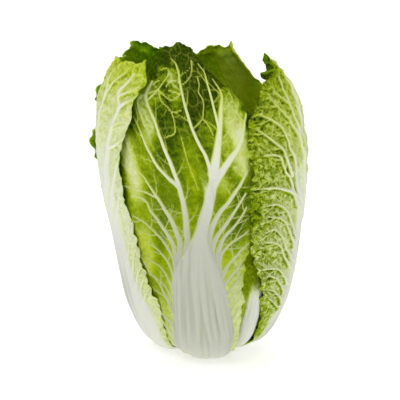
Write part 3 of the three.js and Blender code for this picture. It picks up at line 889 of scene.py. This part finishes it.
FRONT = dict(
    name="leaf_front",
    axis=[2, 1, -2, -4, -2, 2, -6, -14, -26],
    left=[40, 40, 48, 53, 57, 60, 52, 25, 13],
    right=[34, 29, 29, 29, 32, 38, 46, 33, 14],
    rib_depth=0.09,
    left_depth=[0.125, 0.115, 0.11, 0.105] + 5 * [0.1],
    right_depth=0.06,
    lift=17,
    crest=(0, -2, 0, 0, -4),
    grid=(240, 300),
    rib_end=0.66,
    rib=([40, 32, 22, 17, 6, 3, 2, 1, 1], [34, 28, 21, 15, 4, 3, 2, 1, 1]),
    tone=(0.25, 0.26, 0.34, 0.44, 0.56, 0.64, 0.8, 1, 1.1),
    crinkle=(0.2, 0.25, 0.2, 0.2, 0.2, 0.25, 0.4, 0.6, 0.8),
    across=(0.04, 0, 0),
    # painted shade makes this rib greyer than its neighbours'
    flesh_shade=1.2,
    stripes=0.4,
    vein_shade=0.1,
    lobes=[(-1, 0.86, 0.06, 13)],
    branch_gap=16,
    twig=0.6,
    # besides the leaf's own paler and darker places, some patches are painted light over the shadow along the
    # left leaf's margin, and some painted shade at the dark top
    patches=[
        ((233, 118), 13, 36, -0.6, 0.22), ((244, 150), 9, 24, -0.36, 0.12), ((238, 280), 14, 60, 0, 0.35),
        ((193, 84), 10, 34, 0.25, 0), ((155, 92), 9, 14, -0.4, 0.3), ((174, 80), 7, 18, -0.45, 0.3),
        ((160, 140), 12, 26, 0.12, 0), ((152, 275), 22, 36, 0.12, 0), ((138, 212), 12, 24, -0.1, 0.1),
        ((148, 118), 8, 28, -0.6, 0.3), ((143, 150), 9, 26, -0.25, 0.1), ((206, 122), 9, 24, -0.22, 0),
        ((192, 158), 10, 36, -0.18, 0), ((222, 184), 8, 13, -0.22, 0.15), ((160, 232), 9, 28, 0.16, -0.25),
        ((241, 215), 10, 36, 0.22, 0), ((126, 158), 10, 46, -0.7, 0.14), ((226, 150), 6, 13, -0.3, 0.15),
        ((163, 74), 8, 12, -0.3, 0.2), ((174, 102), 7, 10, -0.25, 0), ((240, 168), 9, 14, -0.35, 0.25),
        ((192, 182), 7, 16, -0.15, 0), ((143, 252), 12, 26, -0.3, 0.05),
    ],
    net=(0.05, 0.08, 0.1, 0.12, 0.15, 0.18, 0.25, 0.3, 0.3),
    waves=1.2,
    ragged=2,
    main_vein=False,
    strands=FRONT_VEINS,
    side_veins={-1: (0.1, 0.22, 4), 1: (0.08, 0.16, 3)},
    steep=(1, 1.3, 1.3),
)
LEFT_VEINS = [
    [(4, 1.1), (112, 246), (105, 215), (101, 190), (99, 170), (97, 150), (98, 130), (100, 112), (103, 97),
     (107, 83), (111, 72), (114, 66)],
    [(6, 1.2), (115, 246), (108, 215), (106, 196), (107, 180), (106, 164), (107, 147), (110, 131),
     (113, 119), (118, 108), (117, 97), (120, 87), (126, 76), (130, 71)],
    [(1.6, 0.7), (107, 148), (113, 146), (118, 142), (121, 138)],
    [(1.7, 0.7), (117, 109), (122, 104), (128, 101), (133, 100)],
    [(1.2, 0.6), (118, 96), (124, 92), (131, 89), (137, 88)],
    [(1, 0.5), (111, 126), (117, 123), (123, 122)],
    [(1.4, 0.6), (103, 100), (108, 88), (114, 80), (120, 73), (127, 66)],
    [(3.6, 1), (112, 216), (112, 198), (113, 182), (115, 168), (119, 158)],
    [(2.6, 0.8), (116, 224), (117, 208), (118, 194), (121, 182)],
    [(1.4, 0.6), (128, 262), (128, 250), (130, 240), (133, 234)],
    [(1.4, 0.6), (132, 278), (132, 262), (134, 252), (137, 246)],
    [(1.4, 0.6), (136, 290), (136, 276), (140, 266), (144, 260)],
    [(1.4, 0.6), (139, 298), (140, 286), (144, 278), (148, 275)],
    [(1.2, 0.6), (143, 306), (144, 296), (148, 290), (152, 288)],
]
LEFT = dict(
    name="leaf_left",
    axis=[-62, -68, -70, -69, -67, -66, -69, -75, -80],
    left=[26, 28, 33, 39, 45, 47, 44, 40, 24],
    right=[17, 31, 35, 30, 22, 15, 18, 32, 40],
    rib_depth=[0.16, 0.14, 0.12, 0.1, 0.08] + 4 * [0.06],
    left_depth=[0.14, 0.13, 0.12, 0.11] + 5 * [UNDER],
    right_depth=[0.12, 0.09, 0.07, 0.05, 0.06, 0.07, 0.07, 0.065, 0.05],
    rib=([28, 30, 30, 29, 26, 20, 12, 7, 4], [17, 30, 28, 17, 11, 9, 7, 5, 3]),
    reach=0.93,
    lift=14,
    flare=(4, 8, 6),
    crest=(2, 2, 3, 2, 6),
    grid=(190, 300),
    rib_end=0.76,
    rib_fade=0.3,
    frill=1.6,
    ragged=2.2,
    tone=(0.42, 0.4, 0.3, 0.16, 0.08, 0.05, 0.05, 0.12, 0.3),
    across=(0, 0, 0.04),
    bloom=(0.2, 0.25, 0.3, 0.4, 0.55, 0.6, 0.5, 0.25, 0),
    # painted shade on the folded lobe at the top right
    patches=[((144, 80), 9, 16, 0.22, -0.3)],
    crinkle=(0.2, 0.3, 0.4, 0.5, 0.6, 0.7, 0.8, 0.8, 0.8),
    net=(0.2, 0.3, 0.4, 0.5, 0.6, 0.7, 0.7, 0.6, 0.4),
    sink=1.8,
    waves=1.4,
    relief=1.2,
    vein_shade=0.3,
    branch_gap=10,
    lobes=[(1, 0.955, 0.03, 9)],
    inner_tone=0.3,
    main_vein=False,
    strands=LEFT_VEINS,
    side_veins={-1: (0.08, 0.86, 14), 1: (0.06, 0.14, 3)},
)
RIGHT_VEINS = [
    [(3.4, 0.8), (304, 215), (305, 195), (304, 178), (303, 160), (301, 140), (299, 126), (295, 113),
     (290, 103), (286, 92), (282, 80), (280, 74)],
    [(2, 0.8), (301, 200), (299, 188), (297, 172), (295, 158), (291, 146), (286, 134), (278, 124),
     (270, 118), (262, 113)],
    [(2, 0.8), (299, 206), (296, 192), (293, 180), (287, 172), (283, 164), (280, 157), (273, 155),
     (265, 156)],
    [(1.8, 0.7), (294, 176), (289, 164), (284, 152), (276, 143), (268, 136), (260, 130)],
    [(1.8, 0.7), (299, 196), (293, 192), (286, 190), (276, 188), (266, 189), (257, 190)],
    [(1.8, 0.7), (295, 240), (294, 226), (291, 214), (286, 208), (278, 205), (268, 206)],
    [(1.6, 0.7), (293, 246), (291, 234), (288, 224), (283, 219), (276, 218), (270, 217)],
    [(1.8, 0.7), (292, 262), (288, 250), (284, 240), (279, 232), (274, 230), (266, 234)],
    [(1.8, 0.7), (290, 270), (286, 258), (281, 247), (275, 243), (266, 243)],
    [(1.8, 0.7), (288, 284), (284, 275), (278, 269), (270, 269), (261, 270)],
    [(1.4, 0.6), (285, 294), (281, 284), (276, 278), (270, 277), (265, 279)],
    [(1.2, 0.6), (282, 303), (278, 295), (273, 291), (267, 291)],
    [(1, 0.5), (279, 309), (275, 303), (271, 300)],
    [(1.2, 0.6), (300, 134), (292, 124), (284, 112), (276, 102), (270, 96)],
    [(1, 0.5), (290, 103), (282, 96), (274, 90)],
]
RIGHT = dict(
    name="leaf_right",
    axis=[82, 90, 88, 81, 71, 67, 66, 67, 72],
    left=[27, 38, 42, 47, 46, 42, 42, 37, 13],
    right=[26, 28, 32, 38, 46, 50, 50, 34, 16],
    rib_depth=[0.11, 0.09, 0.07, 0.06, 0.055] + 4 * [0.06],
    left_depth=[0.08, 0.06, 0.04] + 6 * [OVER],
    right_depth=[0.12, 0.1, 0.07, 0.05, 0.06, 0.075, 0.075, 0.075, 0.07],
    ruffle=(4, 1),
    rib=([12, 12, 9, 7, 4.5, 4, 3, 2, 2], [26, 26, 24, 20, 14, 9, 5, 3, 2]),
    crest=(-9, -2, 0, 0, -4),
    grid=(210, 300),
    rib_end=0.68,
    rib_fade=0.25,
    tone=(0.3, 0.3, 0.26, 0.25, 0.27, 0.28, 0.29, 0.32, 0.68),
    # the first patch is painted shade in the gap beside the front leaf
    patches=[((256, 215), 8, 10, 0.25, -0.2), ((272, 90), 9, 14, -0.2, 0.1)],
    across=(0.3, 0, 0),
    bloom=(0.4, 0.45, 0.5, 0.5, 0.45, 0.35, 0.2, 0.1, 0),
    crinkle=(0.4, 0.6, 0.8, 1, 1.1, 1.2, 1.3, 1.2, 0.9),
    crinkle_across=(1.1, 0.5, 0.4),
    puckers=1.3,
    inner_tone=0.12,
    net=(0.1, 0.2, 0.2, 0.3, 0.3, 0.4, 0.4, 0.4, 0.3),
    sink=2.6,
    waves=2.2,
    frill=3,
    ragged=3.4,
    relief=2,
    vein_shade=0.35,
    main_vein=False,
    strands=RIGHT_VEINS,
    side_veins={1: (0.08, 0.86, 14)},
)
BACK = dict(  # what the two back leaves share
    rib_depth=0.09,
    left_depth=UNDER,
    right_depth=OVER,
    grid=(150, 240),
    bloom=(0.4, 0.4, 0.35, 0.3, 0.25, 0.2, 0.15, 0.1, 0),
    rib_fade=0.2,
    seen_inside=True,
    vein_shade=0.2,
    relief=1.4,
)
BACK_LEFT = dict(
    BACK,
    name="leaf_back_left",
    axis=[-138, -138, -140, -142, -142, -142, -142, -140, -138],
    left=[22, 22, 24, 28, 34, 38, 40, 42, 30],
    right=[24, 26, 31, 35, 39, 46, 46, 42, 27],
    ruffle=(7, 1),
    flare=(4, 6, 7),
    crest=(-2, -1, 0, -2, -1),
    tone=(0.2, 0.22, 0.28, 0.32, 0.34, 0.34, 0.34, 0.4, 0.6),
    inner_tone=0.35,
    across=(0, 0, -0.3),
    strands=[[(0.9, 0.5), (156, 84), (158, 72), (158, 60), (156, 54)]],
    frill=2.8,
    crinkle=(0.3, 0.4, 0.5, 0.5, 0.6, 0.7, 0.8, 0.9, 1),
)
BACK_RIGHT = dict(
    BACK,
    name="leaf_back_right",
    axis=[150, 152, 154, 155, 156, 157, 157, 156, 156],
    left=[28, 30, 34, 40, 46, 47, 37, 17, 1],
    right=[24, 26, 32, 38, 42, 44, 46, 44, 28],
    ruffle=(4, 1),
    flare=(0, 4, 6),
    crest=(0, 2, 0, -6, -12),
    tone=(0.2, 0.22, 0.28, 0.34, 0.4, 0.45, 0.45, 0.42, 0.4),
    # a paler inner face with less deep green is painted light, for the light that shines through the leaf
    inner_tone=-0.12,
    inner_green=0.1,
    inner_white=0.1,
    # the patch on the fold lightens it a little: painted light for the light that shines through the leaf
    patches=[((228, 56), 6, 18, -0.08, 0), ((210, 62), 10, 22, 0.25, 0), ((248, 98), 10, 16, 0.12, 0)],
    frill=2.4,
    crinkle=(0.3, 0.4, 0.5, 0.5, 0.4, 0.3, 0.25, 0.2, 0.2),
)
FRONT_RIGHT = dict(
    name="leaf_front_right",
    axis=[42, 42],
    left=[24, 28, 30, 31, 31, 31, 31, 28, 16],
    right=[16, 20, 27, 36, 40, 42, 40, 30, 12],
    rib=([12, 12, 10, 9, 8, 5, 2, 1, 1], [14, 14, 12, 10, 8, 5, 2, 1, 1]),
    rib_depth=0.17,
    left_depth=0.17,
    right_depth=0.14,
    size=0.8,
    reach=0.62,
    grid=(100, 140),
    rib_end=0.5,
    tone=(0.3, 0.4, 0.5, 0.55, 0.6, 0.6, 0.6, 0.6, 0.6),
    sink=0.6,
    waves=0.8,
    frill=0.8,
    ragged=1,
    side_veins={},
    main_vein=False,
    net=(0.1, 0.1),
)
OUTER_LEAVES = [FRONT, LEFT, RIGHT, BACK_LEFT, BACK_RIGHT, FRONT_RIGHT]

# Each inner ring: name, depth, how wide its leaves are, their azimuths, how far they reach, and their size.
RINGS = [
    ("second", 0.225, 0.85, (108, 180, -110, -46), (0.78, 0.85, 0.87, 0.95), 0.8),
    ("third", 0.365, 1.0, (0, 84, 165, -85), (0.9, 0.85, 0.85, 0.88), 0.66),
    ("fourth", 0.5, 1.36, (50, 170, -65), (0.86, 0.84, 0.9), 0.55),
    ("fifth", 0.66, 1.5, (0, 120, -120), (0.9, 0.88, 0.89), 0.42),
    ("heart", 0.86, 1.9, (75, -105), (0.95, 1), 0.3),
]
BLADE_HALF_WIDTH = [30, 34, 40, 50, 58, 62, 60, 48, 20]
EDGE_DEPTH = 0.035
INNER_TONE = (0.2, 0.22, 0.28, 0.36, 0.44, 0.5, 0.56, 0.64, 0.72)
LEAST_TONE = 0.17


def inner_leaves():
    for name, depth, widen, azimuths, reaches, size in RINGS:
        half = [angle * widen for angle in BLADE_HALF_WIDTH]
        pale = max(0.95 - 1.2 * depth, 0.1)
        for i, (azimuth, reach) in enumerate(zip(azimuths, reaches)):
            yield dict(
                name=f"leaf_{name}_{i + 1}",
                axis=[azimuth, azimuth],
                left=half,
                right=half,
                rib_depth=depth,
                left_depth=depth + EDGE_DEPTH,
                right_depth=depth - EDGE_DEPTH,
                ruffle=(1.5, 1),
                size=size,
                reach=reach,
                phase=2.3 * i + 10 * depth,
                grid=(60, 90),
                inner_green=max(0.3 - 0.8 * depth, 0),
                inner_tone=0.08,
                inner_white=0.05,
                side_veins={-1: (0.1, 0.8, 6), 1: (0.1, 0.8, 6)},
                sink=0.8,
                waves=0.8,
                frill=1.6,
                ragged=2.0,
                tone=[max(t * pale, LEAST_TONE) for t in INNER_TONE],
            )


leaf_look = leaf_material()
all_leaves = [{"phase": 1.7 * i, **leaf} for i, leaf in enumerate(OUTER_LEAVES)] + list(inner_leaves())
for number, values in enumerate(all_leaves):
    leaf = SimpleNamespace(**{**DEFAULTS, **values}, seed=1000 + 97 * number)
    piece = leaf_mesh(leaf, *grow(leaf))
    piece.data.materials.append(leaf_look)
    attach(piece, "root")
    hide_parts(leaf.name)

# ---- The stump ----
STUMP_TURNS = 96
STUMP_INSET = 0.9  # how far the stump's flank lies inside the leaves' feet


def stump():
    foot_r, foot_z = shell(0, 0)
    tip_r, tip_z = shell(1, 0)
    slope = (foot_r - tip_r) / (tip_z - foot_z)

    def flank(z):
        return foot_r - slope * (z - foot_z) - STUMP_INSET

    # the cut face, its rounded edge, the flank, and the top that the leaves hide
    profile = [(r, 0.0) for r in np.linspace(0, flank(0) - 1.5, 12)]
    profile += [(flank(0.75) - 0.3, 0.35), (flank(1.5), 1.5)]
    profile += [(flank(z), z) for z in np.linspace(4, STUMP_HEIGHT - 4, 20)]
    profile += [(flank(STUMP_HEIGHT) - 2, STUMP_HEIGHT), (0, STUMP_HEIGHT + 1)]
    points = []
    for r, z in profile:
        for k in range(STUMP_TURNS):
            a = FULL_TURN * k / STUMP_TURNS
            wobble = 1 + 0.01 * float(noise(k, z, 6, 7)) * (z > 1)
            points.append((r * wobble * math.cos(a) * MM, r * wobble * math.sin(a) * MM, z * MM))
    rings = np.arange(len(points)).reshape(-1, STUMP_TURNS)
    mesh = bpy.data.meshes.new("look_stump")
    mesh.from_pydata(points, [], squares(np.hstack([rings, rings[:, :1]])).tolist())
    mesh.update()
    piece = linked("look_stump", mesh)
    weld = piece.modifiers.new("weld", "WELD")
    weld.merge_threshold = 1e-6
    mesh.shade_smooth()
    mesh.materials.append(stump_material())
    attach(piece, "root")
    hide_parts("stump")


stump()

# ---- Floor, light and camera ----
FLOOR = 12  # half the floor's side, in metres
FLOOR_DROP = 0.0005  # how far below the cut face the floor lies, in metres
floor_corners = [(-FLOOR, -FLOOR, 0), (FLOOR, -FLOOR, 0), (FLOOR, FLOOR, 0), (-FLOOR, FLOOR, 0)]
floor_mesh = bpy.data.meshes.new("floor")
floor_mesh.from_pydata(floor_corners, [], [(0, 1, 2, 3)])
floor = linked("floor", floor_mesh)
floor.location.z = -FLOOR_DROP
floor_look = Nodes("floor")
floor_look.feed(floor_look.shader, {"Base Color": (0.93, 0.93, 0.93, 1), "Roughness": 0.9})
floor_look.feed(floor_look.shader, {"Emission Color": (1, 1, 1, 1), "Emission Strength": 0.4})
floor_mesh.materials.append(floor_look.material)


def area_light(name, place, aim, size, power):
    data = bpy.data.lights.new(name, "AREA")
    data.shape, data.size, data.energy = "DISK", size, power
    lamp = linked(name, data)
    lamp.location = place
    lamp.rotation_euler = (Vector(aim) - Vector(place)).to_track_quat("-Z", "Y").to_euler()


area_light("key", (-0.6, -1.4, 1.3), (0, 0, 0.15), 0.8, 5.5)
area_light("fill", (1.0, -1.6, 0.7), (0, 0, 0.12), 1.6, 3)
area_light("top", (0, 0.6, 3), (0, 0.4, 0), 4, 30)

world = bpy.data.worlds.new("studio")
world.use_nodes = True
background = world.node_tree.nodes["Background"].inputs
background["Color"].default_value = (1, 1, 1, 1)
background["Strength"].default_value = 0.57
bpy.context.scene.world = world
bpy.context.scene.view_settings.view_transform = "Standard"

camera_data = bpy.data.cameras.new("camera")
camera_data.sensor_width = 36
camera_data.lens = FOCAL_PIXELS / PHOTO_PIXELS * camera_data.sensor_width
camera_data.shift_x = (PHOTO_PIXELS / 2 - TARGET_PIXEL[0]) / PHOTO_PIXELS
camera_data.shift_y = (TARGET_PIXEL[1] - PHOTO_PIXELS / 2) / PHOTO_PIXELS
camera = linked("camera", camera_data)
backwards = Vector((0, -math.cos(CAMERA_RISE), math.sin(CAMERA_RISE)))
camera.location = (Vector((0, 0, TARGET_HEIGHT)) + CAMERA_DISTANCE * backwards) * MM
camera.rotation_euler = (math.pi / 2 - CAMERA_RISE, 0, 0)
bpy.context.scene.camera = camera
